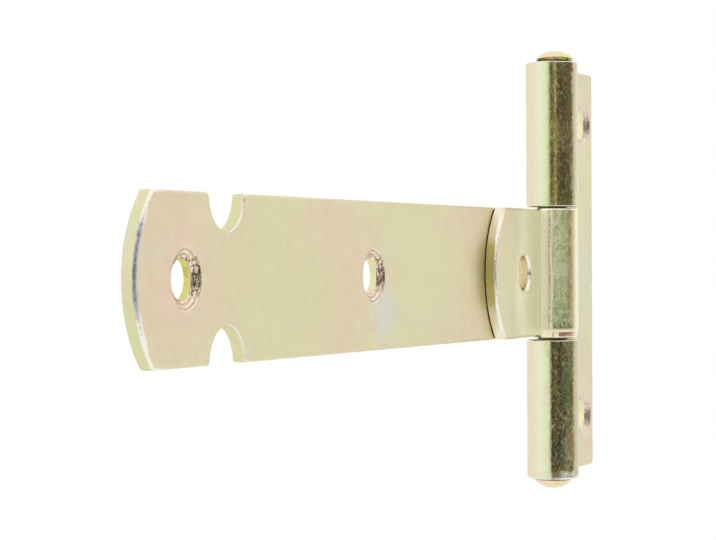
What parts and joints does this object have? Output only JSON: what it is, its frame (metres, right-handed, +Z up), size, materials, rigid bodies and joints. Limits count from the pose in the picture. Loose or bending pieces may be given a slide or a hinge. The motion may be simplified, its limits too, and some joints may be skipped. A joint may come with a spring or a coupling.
{
  "type": "tee hinge",
  "caption": "Light tee hinge: a long strap leaf with a rounded, notched tip and a lapped centre knuckle, on a tall cross leaf, joined by a riveted pin.",
  "frame": {"origin": "on the back plane that both leaves share, midway between the two screw holes of the cross leaf", "axes": "+Z up along the pin, +Y out of the back of the leaves into what they are screwed to, -X along the strap towards its tip; the countersunk front faces -Y"},
  "size_m": [0.19, 0.0099, 0.0841],
  "materials": {
    "yellow_zinc_sheet": "bright zinc plate with iridescent yellow passivation, smooth rolled sheet with softly eased edges",
    "yellow_zinc_rivet": "bright zinc plate with iridescent yellow passivation on a formed rivet head"
  },
  "bodies": {
    "post_side": {"cross_leaf": "yellow_zinc_sheet", "hinge_pin": "yellow_zinc_rivet"},
    "door_side": {"strap_leaf": "yellow_zinc_sheet"}
  },
  "joints": [
    {"name": "strap_swing", "type": "hinge", "parent": "post_side", "child": "door_side", "pos_m": [-0.0271, -0.00495, 0], "axis": [0, 0, 1], "range_deg": [-100, 186]}
  ]
}
